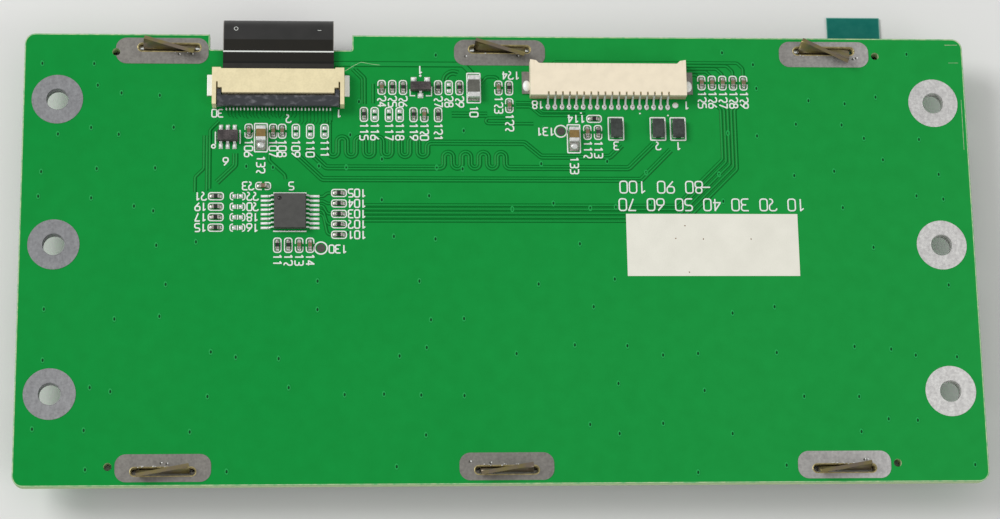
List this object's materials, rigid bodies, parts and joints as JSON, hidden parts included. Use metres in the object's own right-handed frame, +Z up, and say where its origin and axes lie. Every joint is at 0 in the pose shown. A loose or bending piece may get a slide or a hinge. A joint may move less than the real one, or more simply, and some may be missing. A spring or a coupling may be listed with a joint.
{
  "type": "touchscreen display module",
  "caption": "Small colour display module with a resistive touch panel, lying on its screen with its circuit board, flex socket and wire header facing up.",
  "frame": {"origin": "on the resting face of the protective film, straight below the centre of the circuit board's outline", "axes": "+X along the board's long side, +Y towards the edge that the display flex goes round, +Z up out of the board's rear face"},
  "size_m": [0.133, 0.0697, 0.0091],
  "materials": {
    "solder_mask": "satin green lacquer over glass laminate",
    "tinned_copper": "dull tin",
    "stamped_steel": "tin plated sheet, worn at the bends",
    "clear_film": "glossy",
    "teal_film": "glossy",
    "sensor_film": "fine matt hard coat",
    "adhesive": "matt black",
    "sheet_glass": "polished",
    "polariser": "dark, slightly matt",
    "foam": "fine cell foam",
    "silicon": "polished",
    "white_plastic": "satin",
    "optical_film": "satin",
    "acrylic": "clear",
    "led_resin": "satin",
    "black_flex": "satin polyimide",
    "stiffener": "satin polyimide",
    "beige_nylon": "satin, moulded",
    "ivory_nylon": "satin, moulded",
    "black_nylon": "satin, moulded",
    "bright_contact": "bright tin plate",
    "solder": "bright, flowed",
    "mould_compound": "fine matt",
    "ceramic_brown": "fired",
    "resistor_face": "glazed black",
    "ferrite": "matt",
    "white_print": "printed ink"
  },
  "bodies": {
    "module": {"protective_film": "clear_film", "pull_tab": "teal_film", "touch_film": "sensor_film", "touch_spacer": "adhesive", "touch_glass": "sheet_glass", "touch_tape": "adhesive", "touch_tail": "stiffener", "bezel_frame": "stamped_steel", "lcd_gasket": "foam", "front_polariser": "polariser", "colour_filter_glass": "sheet_glass", "tft_glass": "sheet_glass", "driver_chip": "silicon", "rear_polariser": "polariser", "backlight_frame": "white_plastic", "prism_film": "optical_film", "diffuser_film": "optical_film", "light_guide": "acrylic", "reflector_film": "white_plastic", "backlight_leds": "led_resin", "led_strip": "stiffener", "rear_tape": "foam", "circuit_board": "solder_mask", "ring_lands": "tinned_copper", "slot_lands": "tinned_copper", "display_flex": "black_flex", "flex_stiffener": "stiffener", "socket_housing": "beige_nylon", "socket_contacts": "bright_contact", "socket_tabs": "bright_contact", "header_housing": "ivory_nylon", "header_pins": "bright_contact", "header_tabs": "bright_contact", "touch_controller": "mould_compound", "touch_controller_leads": "bright_contact", "converter": "mould_compound", "converter_leads": "bright_contact", "transistor": "mould_compound", "transistor_leads": "bright_contact", "resistors": "resistor_face", "resistor_ends": "solder", "small_capacitors": "ceramic_brown", "capacitor_ends": "solder", "surge_diode": "ferrite", "large_capacitors": "ceramic_brown", "inductor": "ferrite", "large_ends": "solder", "chokes": "ferrite", "choke_terminals": "solder", "solder_joints": "solder", "copper_pads": "solder", "test_pads": "tinned_copper", "white_print_block": "white_print"},
    "flex_lock": {"socket_lock": "black_nylon"}
  },
  "joints": [
    {"name": "flex_lock_hinge", "type": "hinge", "parent": "module", "child": "flex_lock", "pos_m": [-0.03115, 0.02236, 0.00848], "axis": [-1, 0, 0], "range_deg": [0, 90]}
  ]
}
